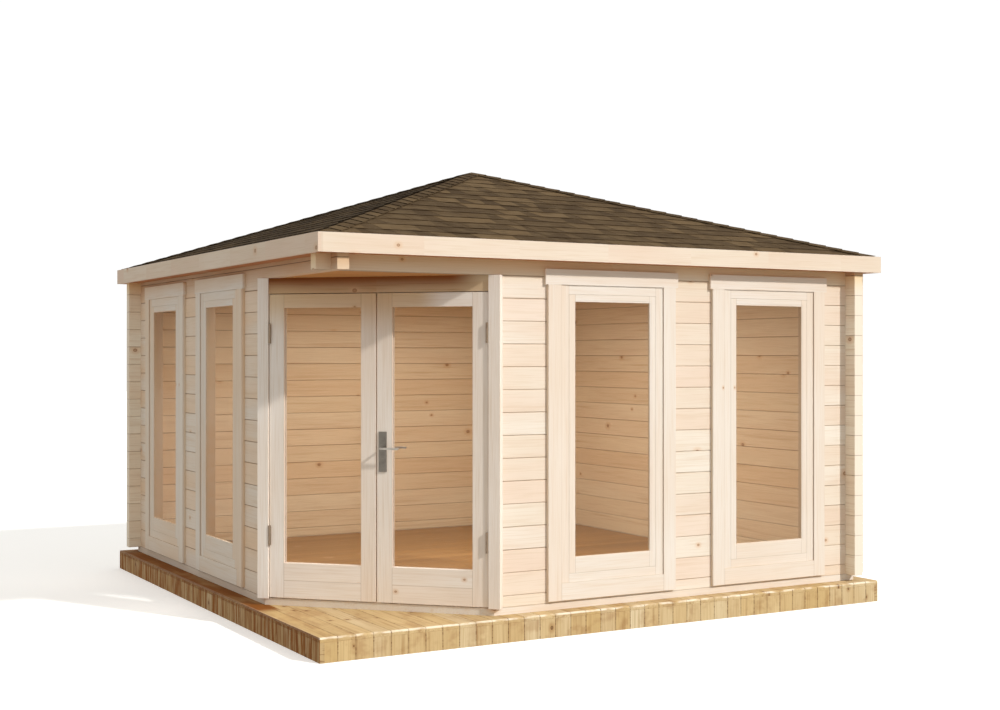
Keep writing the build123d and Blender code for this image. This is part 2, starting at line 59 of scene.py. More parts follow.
# One socket of a material's node tree. Sums and products of sockets add Math nodes.
class Sock:
    def __init__(self, tree, socket=None):
        self.tree = tree
        self.socket = socket

    # Any node: its settings go first, then the values or links of its sockets
    def add(self, kind, settings=None, sockets=None, output=0):
        node = self.tree.nodes.new(kind)
        for name, value in (settings or {}).items():
            setattr(node, name, value)
        for key, value in (sockets or {}).items():
            if isinstance(value, Sock):
                self.tree.links.new(value.socket, node.inputs[key])
            else:
                node.inputs[key].default_value = value
        return Sock(self.tree, node.outputs[output] if len(node.outputs) else None)

    # Another output of the same node
    def other(self, output):
        return Sock(self.tree, self.socket.node.outputs[output])

    def math(self, operation, *values):
        return self.add("ShaderNodeMath", {"operation": operation}, dict(enumerate(values)))

    def __add__(self, value):
        return self.math("ADD", self, value)

    def __sub__(self, value):
        return self.math("SUBTRACT", self, value)

    def __rsub__(self, value):
        return self.math("SUBTRACT", value, self)

    def __mul__(self, value):
        return self.math("MULTIPLY", self, value)

    def __truediv__(self, value):
        return self.math("DIVIDE", self, value)

    def __gt__(self, value):
        return self.math("GREATER_THAN", self, value)

    def __lt__(self, value):
        return self.math("LESS_THAN", self, value)

    def __neg__(self):
        return self * -1.0

    def __abs__(self):
        return self.math("ABSOLUTE", self)

    def __pow__(self, value):
        return self.math("POWER", self, value)

    __radd__ = __add__
    __rmul__ = __mul__

    def larger(self, value):
        return self.math("MAXIMUM", self, value)

    def smaller(self, value):
        return self.math("MINIMUM", self, value)

    def whole(self):
        return self.math("FLOOR", self)

    # What is left past the last whole step, with so many steps to a metre
    def pastStep(self, steps=10.0):
        return self - (self * steps).whole() / steps

    # 1 on a line where this value is 0, fading out over the width to both sides
    def line(self, width):
        return 1.0 - abs(self).fade(width * 0.4, width)

    # Smooth step from 0 at the first value to 1 at the second
    def fade(self, low, high):
        return self.add("ShaderNodeMapRange", {"interpolation_type": "SMOOTHSTEP"},
                        {"Value": self, "From Min": low, "From Max": high})

    # Value a where this mask is 0 and value b where it is 1
    def pick(self, a, b):
        return self.add("ShaderNodeMix", {"data_type": "FLOAT"}, {0: self, 2: a, 3: b})

    # Colour a where this value is 0 and colour b where it is 1
    def tint(self, a, b, how="MIX"):
        a, b = [c if isinstance(c, Sock) else (*c, 1.0) for c in (a, b)]
        return self.add("ShaderNodeMix", {"data_type": "RGBA", "blend_type": how},
                        {0: self, 6: a, 7: b}, 2)

    def vector(self, x, y, z):
        return self.add("ShaderNodeCombineXYZ", None, {0: x, 1: y, 2: z})

    # Soft noise round 0.5. The larger its coordinates grow, the finer it is.
    def cloud(self, x, y, z, detail=2.0, rough=0.5):
        return self.add("ShaderNodeTexNoise", None, {"Vector": self.vector(x, y, z), "Scale": 1.0,
                                                     "Detail": detail, "Roughness": rough})

    # One random number from 0 to 1 for each value
    def chance(self):
        return self.add("ShaderNodeTexWhiteNoise", {"noise_dimensions": "1D"}, {"W": self})


# New material, the start of its tree, and the place of a point along x, y and z in metres
def newFinish(name):
    finish = bpy.data.materials.new(name)
    finish.use_nodes = True
    finish.node_tree.nodes.clear()
    start = Sock(finish.node_tree)
    place = start.add("ShaderNodeTexCoord", output=3)
    x = start.add("ShaderNodeSeparateXYZ", None, {0: place})
    return finish, start, x, x.other(1), x.other(2)


def surface(start, colour, rough, height, depth, fixed):
    bump = start.add("ShaderNodeBump", None, {"Height": height, "Distance": depth})
    sockets = {"Base Color": colour, "Roughness": rough, "Normal": bump, **fixed}
    shader = start.add("ShaderNodeBsdfPrincipled", None, sockets)
    start.add("ShaderNodeOutputMaterial", None, {"Surface": shader})


def dress(finish, *names):
    for name in names:
        piece = nodes[name]
        piece.data.materials.clear()
        piece.data.materials.append(finish)


# Planed spruce: its tone differs from board to board, with soft patches, streaks, fibre and some knots
spruce = {
    "pale": (0.84, 0.780, 0.700), "deep": (0.79, 0.665, 0.530), "blush": (0.82, 0.650, 0.540),
    "patch": (0.60, 0.42, 0.26), "fibre": (0.66, 0.50, 0.34), "streak": (0.64, 0.46, 0.30),
    "halo": (0.70, 0.47, 0.29), "knot": (0.34, 0.17, 0.08), "sawn": (0.8253, 0.7087, 0.5698),
    "seam": (0.26, 0.14, 0.06), "aged": (0.92, 0.78, 0.58),
    "boardTone": 0.9, "patches": 0.1977, "fibres": 0.30, "streaks": 0.35,
    "knotCells": 4.2, "knotSize": 0.013, "knotShare": 0.22, "rough": 0.62, "gloss": 0.5,
}


# u runs along the grain, v across the face and w into the wood. The number board differs from one
# board to the next, and the steps it is added up from do nothing else. The last five are masks:
# sawn ends, indoors, seams, painted shade (with real stains on the deck), and a painted highlight.
def timber(start, look, u, v, w, board, end=None, inside=None, seam=None, shadeAndStains=None, highlight=None):
    shift = board * 3.17
    luck = board.chance()
    broad = start.cloud(u * 0.9 + shift, v * 4.0 + shift, w * 4.0)
    fibre = start.cloud(u * 4.0 + shift, v * 160.0, w * 160.0 + shift)
    streak = start.cloud(u * 1.3 + shift, v * 38.0, w * 38.0 + shift, 3.0, 0.6)
    # Knots: some of the cells hold one
    cells = start.vector(u * (look["knotCells"] * 0.8) + shift, v * look["knotCells"] + shift, 0.0)
    spot = start.add("ShaderNodeTexVoronoi", {"voronoi_dimensions": "2D"}, {"Vector": cells, "Scale": 1.0})
    lots = start.add("ShaderNodeSeparateColor", None, {0: spot.other(1)})
    held = lots < look["knotShare"]
    size = (lots.other(1) * 0.7 + 0.55) * (look["knotCells"] * look["knotSize"])
    away = spot / size
    knot = (1.0 - away.fade(0.7, 1.0)) * held
    core = (1.0 - away.fade(0.2, 0.8)) * held
    halo = (1.0 - away.fade(0.8, 3.2)) * held
    patch = broad.fade(0.2, 0.7)
    colour = (luck * look["boardTone"]).tint(look["pale"], look["deep"])
    colour = ((board + 0.2).chance() ** 3.0 * look["boardTone"]).tint(colour, look["blush"])
    colour = (broad.fade(0.42, 0.72) * 0.6).tint(colour, look["blush"])
    colour = (streak.fade(0.52, 0.76) * look["streaks"]).tint(colour, look["streak"])
    colour = (patch * look["patches"]).tint(colour, look["patch"])
    colour = (fibre.fade(0.45, 0.7) * look["fibres"]).tint(colour, look["fibre"])
    colour = (halo * 0.55).tint(colour, look["halo"])
    colour = (knot * (0.9 - core * 0.35)).tint(colour, look["knot"])
    height = fibre * 0.35 + patch * 0.1177 - knot * 0.5
    if end is not None:
        colour = end.tint(colour, look["sawn"])
    if inside is not None:
        aged = (board + 0.6).chance().pick(1.0, 0.66) * broad.fade(0.8, 0.3).pick(1.0, 0.85)
        colour = inside.tint(colour, aged.tint(look["aged"], look["indoors"]), "MULTIPLY")
    # Painted shade, and real stains on the deck: multiplied in where this mask is 1
    if shadeAndStains is not None:
        colour = shadeAndStains.tint(colour, look["shadeAndStainTint"], "MULTIPLY")
    # Painted highlight: a paler colour where this mask is 1
    if highlight is not None:
        colour = highlight.tint(colour, look["highlight"])
    if seam is not None:
        colour = seam.tint(colour, look["seam"])
    rough = fibre * 0.15 + look["rough"]
    surface(start, colour, rough, height, 0.0006, {"Specular IOR Level": look["gloss"]})


# 1 on faces that look along the axis 0, 1 or 2
def facing(start, axis):
    normal = start.add("ShaderNodeNewGeometry", output=1)
    part = start.add("ShaderNodeSeparateXYZ", None, {0: normal}, axis)
    return abs(part) > 0.8


# Stacked logs. The front and back walls start with half a log. A new pier starts at each value of
# piers along the wall. A joint is as dark as jointPlain, jointMore makes some of them darker, and
# jointIndoors those in the room. Painted shade under the eaves grows from the first height to the second.
logs = {
    **spruce, "piers": (-0.06, 1.17), "centre": inner + logThick / 2, "faceSkin": 0.003,
    "joint": 0.0030, "jointPlain": 0.30, "jointMore": 0.45, "jointIndoors": 0.4, "eaves": (2.07, 2.25),
    "boardTone": 0.75, "indoors": (1.0, 0.97, 0.87), "shadeAndStainTint": (1.0, 0.82, 0.53),
}
# Left wall logs: a warmer tone, and partly a darker copy of the front logs standing in for the shade on that
# wall, with deeper painted shade under the eaves
leftLogs = {
    **logs, "pale": (0.80, 0.725, 0.65), "deep": (0.79, 0.66, 0.53), "blush": (0.85, 0.58, 0.36),
    "boardTone": 0.55, "streaks": 0.5, "jointPlain": 0.55, "jointMore": 0.40,
    "shadeAndStainTint": (0.72, 0.50, 0.30), "eaves": (2.02, 2.26),
}
# The logs of the back and right walls run on from corner to corner
backLogs = {
    **logs, "pale": (0.95, 0.89, 0.77), "deep": (0.91, 0.82, 0.67), "blush": (0.93, 0.79, 0.63),
    "piers": (-beyond, beyond), "indoors": (1.0, 0.96, 0.87), "aged": (0.84, 0.69, 0.49),
    "boardTone": 1.0, "streaks": 0.55, "knotShare": 0.11,
}
rightLogs = {**backLogs, "sawn": (0.8535, 0.7580, 0.6332)}


def logFinish(name, alongX, look):
    finish, start, x, y, z = newFinish(name)
    u, w = (x, y) if alongX else (y, x)
    offset = 0.5 if alongX else 0.0
    course = ((z - logsLow) / courseHeight + offset).whole()
    pier = (u > look["piers"][0]) + (u > look["piers"][1])
    board = course + pier * 19.0 + (w > 0.0) * 53.0 + 0.5
    v = z - logsLow - (course - offset) * courseHeight
    end = facing(start, 0 if alongX else 1)
    inside = abs(x).larger(abs(y)) < inner + look["faceSkin"]
    dark = (board + 0.8).chance() * look["jointMore"] + inside * look["jointIndoors"] + look["jointPlain"]
    seam = v.smaller(courseHeight - v).line(look["joint"]) * dark
    timber(start, look, u, v - courseHeight / 2, abs(w) - look["centre"], board, end=end, inside=inside,
           seam=seam, shadeAndStains=z.fade(*look["eaves"]))
    return finish


dress(logFinish("front_logs", True, logs), "front_wall_door_pier", "front_wall_middle_pier",
      "front_wall_far_pier", "front_wall_long_logs")
dress(logFinish("left_logs", False, leftLogs), "left_wall_door_pier", "left_wall_middle_pier",
      "left_wall_far_pier", "left_wall_long_logs", "wall_plates")
dress(logFinish("back_logs", True, backLogs), "back_wall_logs")
dress(logFinish("right_logs", False, rightLogs), "right_wall_logs")
print("logs finished")


# Timbers that run round the cabin in a ring: the grain turns at each corner. The value centre is
# taken off the distance from the cabin's middle, and height off z.
def ringFinish(name, look):
    finish, start, x, y, z = newFinish(name)
    alongX = abs(y) > abs(x)
    u = alongX.pick(y, x)
    w = alongX.pick(x, y)
    board = alongX * 3.0 + (w > 0.0) * 7.0 + 0.5
    if "length" in look:
        # Finger-jointed from shorter lengths
        board = board + ((u + alongX * look["stagger"]) / look["length"]).whole() * 0.61
    fasciaShade = None
    if "fasciaShadeFrom" in look:
        # Painted shade: the left side is a little darker, in patches
        cloudy = start.cloud(y * 1.6, 4.0, 2.0).fade(0.35, 0.65)
        fasciaShade = (x < look["fasciaShadeFrom"]) * cloudy.pick(0.6, 1.0)
    timber(start, look, u, z - look["height"], abs(w) - look["centre"], board, shadeAndStains=fasciaShade)
    return finish


fasciaLook = {
    **spruce, "pale": (0.81, 0.705, 0.595), "deep": (0.76, 0.635, 0.51), "boardTone": 0.75,
    "knotShare": 0.35, "length": 0.62, "stagger": 0.17, "fasciaShadeFrom": -2.02, "shadeAndStainTint": (0.92, 0.89, 0.87),
    "centre": 2.0, "height": 2.28,
}
baseLook = {
    **spruce, "pale": (0.79, 0.75, 0.70), "deep": (0.74, 0.66, 0.57), "blush": (0.77, 0.66, 0.57),
    "centre": 1.88, "height": 0.0,
}
# Porch ceiling: a dark orange tone, partly painted shade under the porch roof
ceilingLook = {
    **spruce, "pale": (0.62, 0.30, 0.10), "deep": (0.52, 0.23, 0.07), "blush": (0.60, 0.27, 0.09),
    "patch": (0.34, 0.15, 0.05), "fibre": (0.42, 0.20, 0.07), "streak": (0.38, 0.16, 0.05),
    "gloss": 0.25, "width": 0.12,
}
# Soffits: a darker copy of the ceiling, painted shade under the eaves
soffitLook = {
    **ceilingLook, "pale": (0.56, 0.21, 0.07), "deep": (0.46, 0.16, 0.05), "blush": (0.54, 0.19, 0.06),
    "patch": (0.20, 0.09, 0.03), "fibre": (0.24, 0.11, 0.04), "streak": (0.20, 0.09, 0.03),
    "centre": 1.9, "height": 0.0,
}
rafterLook = {
    **spruce, "pale": (0.76, 0.62, 0.45), "deep": (0.70, 0.54, 0.36), "patches": 0.2353, "width": 0.3,
    "centre": 1.0, "height": 0.0,
}
dress(ringFinish("fascia_boards", fasciaLook), "fascias")
dress(ringFinish("base_beam_wood", baseLook), "base_beams")
dress(ringFinish("soffit_boards", soffitLook), "eaves_soffits")
dress(ringFinish("roof_board_wood", rafterLook), "roof_boards")


# Bare timbers seen from inside or below
def plainFinish(name, look):
    finish, start, x, y, z = newFinish(name)
    board = (y / look["width"]).whole() + 0.5
    timber(start, look, x, y - (board - 0.5) * look["width"], z.pastStep(), board)
    return finish


dress(plainFinish("rafter_wood", rafterLook), "hip_rafters", "jack_rafters", "king_block",
      "floor_bearers", "deck_joists")
dress(plainFinish("porch_ceiling_wood", ceilingLook), "porch_ceiling")
print("eaves, beams and plain timbers finished")

# Window joinery on the front, or on the left where x and y change places. Each part's upright
# boards lie further than its reach from a window's middle, and half is that of the frame's edge.
# The casing's head board lies across. It is as high as head.
openings = {"half": 0.391, "reach": {"casings": 0.376, "frames": 0.320, "sashes": 0.274}, "head": 0.093,
            "centre": 1.90, "middle": 1.2, "seam": 0.0022, "seamDark": 0.3, "eaves": (2.08, 2.22),
            "sill": 0.0485, "lap": 0.015, "sashGap": 0.003, "paneFace": 1.929}
casingLow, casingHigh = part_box("front_window_casings")
frameLow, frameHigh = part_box("front_window_frames")
sashLow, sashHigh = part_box("front_window_sashes")
glassLow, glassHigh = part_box("front_window_glass")
windowCentres = (frameLow.x + openings["half"], frameHigh.x - openings["half"])
joinery = {
    **spruce, "pale": (0.815, 0.755, 0.70), "deep": (0.79, 0.695, 0.60), "blush": (0.81, 0.69, 0.585),
    "indoors": (1.0, 0.95, 0.83), "aged": (1.0, 0.90, 0.74), "shadeAndStainTint": (0.96, 0.78, 0.56), "shade": 0.35,
    "boardTone": 0.6, "patches": 0.16, "fibres": 0.24, "streaks": 0.28,
    "knotCells": 3.4, "knotSize": 0.006, "knotShare": 0.3,
}
# Left wall joinery: a warmer tone, and partly a darker copy of the front joinery standing in for the shade on
# that wall, with deeper painted shade under the eaves
leftJoinery = {
    **joinery, "pale": (0.79, 0.735, 0.685), "deep": (0.77, 0.68, 0.58), "blush": (0.80, 0.62, 0.46),
    "shade": 0.7,
}


def windowFinish(name, onFront, reach, headLow, look):
    finish, start, x, y, z = newFinish(name)
    side, depth = (x, y) if onFront else (y, x)
    second = side > (windowCentres[0] + windowCentres[1]) / 2
    away = side - second.pick(*windowCentres)
    upright = (abs(away) > reach) * (z < headLow)
    u = upright.pick(side, z)
    v = upright.pick(z, side)
    topBoard = (1.0 - upright) * (z > openings["middle"])
    board = second * 11.0 + upright * 5.0 + (away > 0.0) * upright * 2.0 + topBoard * 23.0 + 0.5
    seam = (abs(away) - reach).line(openings["seam"]) * (z < headLow) * openings["seamDark"]
    inside = abs(depth) < openings["paneFace"]
    # Painted shade under the eaves, as deep as the look's shade
    timber(start, look, u, v.pastStep(), abs(depth) - openings["centre"], board, inside=inside, seam=seam,
           shadeAndStains=z.fade(*openings["eaves"]) * look["shade"])
    return finish


windowWood = {}
for wall, look in (("front", joinery), ("left", leftJoinery)):
    for part, reach in openings["reach"].items():
        name = wall + "_window_" + part
        headLow = casingHigh.z - openings["head"] if part == "casings" else beyond
        windowWood[name] = windowFinish(name + "_wood", wall == "front", reach, headLow, look)
    dress(windowWood[wall + "_window_casings"], wall + "_window_casings")

# Door joinery. The uprights lie further than outStile from the door's middle, or nearer than inStile.
door = {"inStile": 0.099, "leafMiddle": 0.3, "outStile": 0.600, "jamb": 0.684, "centre": 1.955,
        "kick": 0.296, "middle": 1.0, "seam": 0.0022, "seamDark": 0.4, "shadeDrop": 0.28}


# t runs along the door to the right and n out of it
def doorFinish(name, inStile, outStile, look):
    finish, start, x, y, z = newFinish(name)
    t = (x - y) * diagonal
    n = (x + y) * -diagonal
    wide = abs(t)
    upright = (wide > outStile).larger(wide < inStile)
    u = upright.pick(t, z)
    v = upright.pick(z, t)
    row = (z > door["kick"]) + (z > door["middle"])
    outer = (wide > door["leafMiddle"]) * upright
    board = (t > 0.0) * 13.0 + upright * 5.0 + outer * 2.0 + (1.0 - upright) * row * 29.0 + 0.5
    seam = (wide - outStile).line(door["seam"]).larger((wide - inStile).line(door["seam"]))
    kick = (z - door["kick"]).line(door["seam"]) * (1.0 - upright)
    shade = None
    if "under" in look:
        # Painted shade close under the roof, except where the sun comes in from the right
        shade = z.fade(*look["under"]) * t.fade(*look["sunny"])
    timber(start, look, u, v.pastStep(), n - door["centre"], board, seam=seam.larger(kick) * door["seamDark"],
           shadeAndStains=shade)
    return finish


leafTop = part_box("left_leaf_frame")[1].z
headerLow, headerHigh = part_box("door_header")
# Door posts and leaves: paler than the window joinery, partly standing in for more light on the door
postLook = {
    **joinery, "pale": (0.95, 0.895, 0.85), "deep": (0.90, 0.815, 0.74), "blush": (0.91, 0.79, 0.69),
}
leafLook = {
    **postLook, "shadeAndStainTint": (0.80, 0.66, 0.46), "under": (leafTop - door["shadeDrop"], leafTop),
    "sunny": (0.44, 0.24),
}
# Door header: darker and browner than the other joinery, partly painted shade under the porch ceiling, with
# more painted shade near its top except where the sun comes in
headerLook = {
    **joinery, "pale": (0.70, 0.55, 0.37), "deep": (0.60, 0.43, 0.26), "blush": (0.66, 0.45, 0.26),
    "patch": (0.40, 0.22, 0.10), "streak": (0.36, 0.18, 0.07), "shadeAndStainTint": (0.42, 0.18, 0.05),
    "patches": 0.2824, "streaks": 1.0, "knotSize": 0.014, "knotShare": 0.6, "gloss": 0.15,
    "under": (headerLow.z, headerHigh.z), "sunny": (0.66, 0.46),
}
dress(doorFinish("leaf_wood", door["inStile"], door["outStile"], leafLook), "left_leaf_frame",
      "right_leaf_frame")
dress(doorFinish("door_post_wood", -beyond, door["jamb"], postLook), "door_posts", "door_stops")
dress(doorFinish("door_header_wood", -beyond, beyond, headerLook), "door_header")
print("joinery finished")

# Glass: nearly clear, with a warm tint and a soft sheen
glassLook = {"tint": (0.30, 0.22, 0.15), "smear": (0.34, 0.26, 0.19), "cover": 0.10, "rough": 0.04,
             "gloss": 0.15}


def glassFinish(name):
    finish, start, x, y, z = newFinish(name)
    smear = start.cloud(x * 3.0, y * 3.0, z * 1.5, 3.0)
    colour = smear.tint(glassLook["tint"], glassLook["smear"])
    surface(start, colour, smear * 0.05 + glassLook["rough"], smear, 0.0004,
            {"Alpha": glassLook["cover"], "Specular IOR Level": glassLook["gloss"]})
    return finish


windowGlass = glassFinish("window_pane")
dress(windowGlass, "left_leaf_glass", "right_leaf_glass")

# Metals: brushed along the level, with darker stains
hingeMetal = {"bright": (0.29, 0.22, 0.16), "dark": (0.18, 0.13, 0.09), "rough": 0.36}
lockMetal = {"bright": (0.21, 0.19, 0.165), "dark": (0.12, 0.105, 0.09), "rough": 0.38}
leverMetal = {"bright": (0.46, 0.42, 0.375), "dark": (0.24, 0.21, 0.18), "rough": 0.24}


def metalFinish(name, look):
    finish, start, x, y, z = newFinish(name)
    brushed = start.cloud(x * 40.0, y * 40.0, z * 900.0)
    stain = start.cloud(x * 25.0, y * 25.0, z * 25.0, 3.0)
    colour = (brushed.fade(0.3, 0.7) * 0.35 + stain.fade(0.45, 0.75) * 0.4).tint(look["bright"], look["dark"])
    surface(start, colour, stain * 0.25 + look["rough"], brushed, 0.0001, {"Metallic": 1.0})
    return finish


dress(metalFinish("galvanised_hinge", hingeMetal), "post_hinges", "left_leaf_hinges", "right_leaf_hinges")
dress(metalFinish("satin_lock", lockMetal), "lock_plates")
dress(metalFinish("bright_lever", leverMetal), "lever_handle")
print("glass and metal finished")


# Box with eased edges. Each direction in rounds gives its top edge the big round.
def easedBox(low, high, ease, rounds=(), bigRound=0.0):
    work = bmesh.new()
    centre = (low + high) / 2
    size = high - low
    bmesh.ops.create_cube(work, size=1.0, matrix=Matrix.Translation(centre) @ Matrix.Diagonal((*size, 1.0)))
    for axis, sign in rounds:
        edge = high[axis] if sign > 0 else low[axis]
        chosen = [e for e in work.edges
                  if all(abs(v.co.z - high.z) < 1e-6 and abs(v.co[axis] - edge) < 1e-6 for v in e.verts)]
        bmesh.ops.bevel(work, geom=chosen, offset=bigRound, segments=5, profile=0.5, affect="EDGES")
    sharp = [e for e in work.edges if e.calc_face_angle(0.0) > 1.0]
    bmesh.ops.bevel(work, geom=sharp, offset=ease, segments=1, profile=0.5, affect="EDGES")
    return work


# Boards, mouldings or shingles gathered into one mesh
class Stack:
    def __init__(self):
        self.points = []
        self.faces = []
        self.tones = []                                # of the plates' faces

    def take(self, work):
        base = len(self.points)
        work.verts.index_update()
        self.points += [v.co.copy() for v in work.verts]
        self.faces += [[base + v.index for v in face.verts] for face in work.faces]
        work.free()

    # Thin plate between a lower and an upper layer of one outline. The side along its lowest
    # stretch, where the value down is largest, takes the tone edge.
    def plate(self, lower, upper, down, tone, edge, turned=False):
        base = len(self.points)
        count = len(lower)
        lowest = max(down) - 1e-4
        self.points += lower + upper
        made = [list(range(base + count, base + 2 * count)), list(range(base + count - 1, base - 1, -1))]
        self.tones += [tone, tone]
        for k in range(count):
            following = (k + 1) % count
            made.append([base + k, base + following, base + following + count, base + k + count])
            self.tones.append(edge if min(down[k], down[following]) > lowest else tone)
        self.faces += [face[::-1] for face in made] if turned else made

    def make(self, name, finish, slot, replaced):
        mesh = bpy.data.meshes.new(name)
        mesh.from_pydata(self.points, [], self.faces)
        mesh.materials.append(finish)
        if self.tones:
            mesh.attributes.new("tone", "FLOAT", "FACE").data.foreach_set("value", self.tones)
        piece = bpy.data.objects.new(name, mesh)
        bpy.context.scene.collection.objects.link(piece)
        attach(piece, "cabin")
        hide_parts(replaced)


# Window frames, sashes and panes: they end just behind the face of their casings
window = {"setBack": 0.008, "bead": 0.010, "beadDeep": 0.0015, "gap": 0.0008, "paneDeep": 0.0045,
          "paneBite": 0.009, "sashThick": 0.020, "ease": 0.0008, "fit": 0.0005}


# Closed ring through a loop of upright rectangles, each (half width, low, high, depth)
def mouldedRing(loops, centre, onFront):
    work = bmesh.new()
    rows = []
    for reach, low, high, depth in loops:
        left, right = centre - reach, centre + reach
        corners = [(left, low), (right, low), (right, high), (left, high)]
        places = [(side, depth, z) if onFront else (depth, side, z) for side, z in corners]
        rows.append([work.verts.new(place) for place in places])
    for row, following in zip(rows, rows[1:] + rows[:1]):
        for k in range(4):
            work.faces.new((row[k], row[(k + 1) % 4], following[(k + 1) % 4], following[k]))
    bmesh.ops.recalc_face_normals(work, faces=work.faces[:])
    sharp = [e for e in work.edges if e.calc_face_angle(0.0) > 0.6]
    bmesh.ops.bevel(work, geom=sharp, offset=window["ease"], segments=1, affect="EDGES", clamp_overlap=True)
    return work


# Grown by a margin on every side
def grown(loop, margin):
    reach, low, high = loop
    return reach + margin, low - margin, high + margin


def windowPieces(wall, onFront):
    frames = Stack()
    sashes = Stack()
    panes = Stack()
    # Depths, from the outside in
    face = casingLow.y + window["setBack"]
    beadFace = face + window["beadDeep"]
    paneFace = face + window["paneDeep"]
    paneBack = paneFace + glassHigh.y - glassLow.y
    sashBack = face + window["sashThick"]
    # Half width, low and high edge of each opening
    reach = openings["reach"]
    inCasing = (reach["casings"], frameLow.z + openings["sill"], frameHigh.z - openings["lap"])
    inFrame = (reach["frames"], sashLow.z, sashHigh.z + openings["sashGap"])
    inSash = (reach["sashes"], glassLow.z + window["paneBite"], glassHigh.z - window["paneBite"])
    outside = (openings["half"], frameLow.z, frameHigh.z)
    shown = grown(inCasing, -window["fit"])
    sash = grown(inFrame, -window["gap"])
    bead = grown(inSash, window["bead"])
    paneReach, paneLow, paneHigh = grown(inSash, -window["fit"])
    for centre in windowCentres:
        frames.take(mouldedRing([(*shown, face), (*inFrame, face), (*inFrame, frameHigh.y),
                                 (*outside, frameHigh.y), (*outside, frameLow.y), (*shown, frameLow.y)],
                                centre, onFront))
        sashes.take(mouldedRing([(*sash, face), (*bead, face), (*bead, beadFace), (*inSash, beadFace),
                                 (*inSash, sashBack), (*sash, sashBack)], centre, onFront))
        corners = [Vector((centre - paneReach, paneFace, paneLow)),
                   Vector((centre + paneReach, paneBack, paneHigh))]
        if not onFront:
            corners = [Vector((corner.y, corner.x, corner.z)) for corner in corners]
        panes.take(easedBox(*corners, window["fit"]))
    name = wall + "_window_"
    frames.make(name + "frame_boards", windowWood[name + "frames"], "joinery_wood", name + "frames")
    sashes.make(name + "sash_boards", windowWood[name + "sashes"], "joinery_wood", name + "sashes")
    panes.make(name + "panes", windowGlass, "pane", name + "glass")


windowPieces("front", True)
windowPieces("left", False)
print("window frames, sashes and panes made")

# Deck: boards from front to back with rounded ends, and upright boards round the sides
deck = {"boards": 38, "gap": 0.0010, "ease": 0.0014, "skirtThick": 0.028, "round": 0.012, "skin": 0.001}
deckPitch = (deckHigh.x - deckLow.x) / deck["boards"]


# Low and high edge of one board, with half a gap taken off where another board follows
def boardEdges(k):
    low = deckLow.x + k * deckPitch + (deck["gap"] / 2 if k else 0.0)
    high = deckLow.x + (k + 1) * deckPitch - (deck["gap"] / 2 if k < deck["boards"] - 1 else 0.0)
    return low, high


def deckBoards():
    stack = Stack()
    for k in range(deck["boards"]):
        low, high = boardEdges(k)
        rounds = [(1, -1), (1, 1)]
        if k == 0:
            rounds.append((0, -1))
        if k == deck["boards"] - 1:
            rounds.append((0, 1))
        stack.take(easedBox(Vector((low, deckLow.y, deckLow.z)), Vector((high, deckHigh.y, deckHigh.z)),
                            deck["ease"], rounds, deck["round"]))
    return stack


def deckUprights():
    stack = Stack()
    thick = deck["skirtThick"]
    inset = thick + deck["gap"] / 2
    for k in range(deck["boards"]):
        low, high = boardEdges(k)
        for y0, y1 in ((deckLow.y, deckLow.y + thick), (deckHigh.y - thick, deckHigh.y)):
            stack.take(easedBox(Vector((low, y0, 0.0)), Vector((high, y1, skirtTop)), deck["ease"]))
        low = max(low, deckLow.y + inset)
        high = min(high, deckHigh.y - inset)
        for x0, x1 in ((deckLow.x, deckLow.x + thick), (deckHigh.x - thick, deckHigh.x)):
            stack.take(easedBox(Vector((x0, low, 0.0)), Vector((x1, high, skirtTop)), deck["ease"]))
    return stack


deckLook = {
    **spruce, "pale": (0.73, 0.605, 0.395), "deep": (0.60, 0.42, 0.19), "blush": (0.66, 0.49, 0.26),
    "patch": (0.36, 0.20, 0.07), "fibre": (0.46, 0.29, 0.12), "streak": (0.34, 0.18, 0.06),
    "halo": (0.36, 0.18, 0.06), "knot": (0.12, 0.05, 0.02), "seam": (0.20, 0.09, 0.03),
    "shadeAndStainTint": (0.43, 0.20, 0.04), "highlight": (0.95, 0.87, 0.72),
    "boardTone": 1.0, "patches": 0.2588, "fibres": 0.45, "streaks": 0.65,
    "knotCells": 7.0, "knotSize": 0.009, "knotShare": 0.22, "rough": 0.7, "gloss": 0.2,
    "centreOut": 2.0, "centreUp": 0.10, "seamWidth": 0.0045, "deckShadeTo": -1.90, "deckShadeFrom": (-1.20, -1.00),
    "highlightDown": 0.005, "highlightWidth": 0.008, "highlightShare": 0.7, "highlightLeft": 0.2,
}


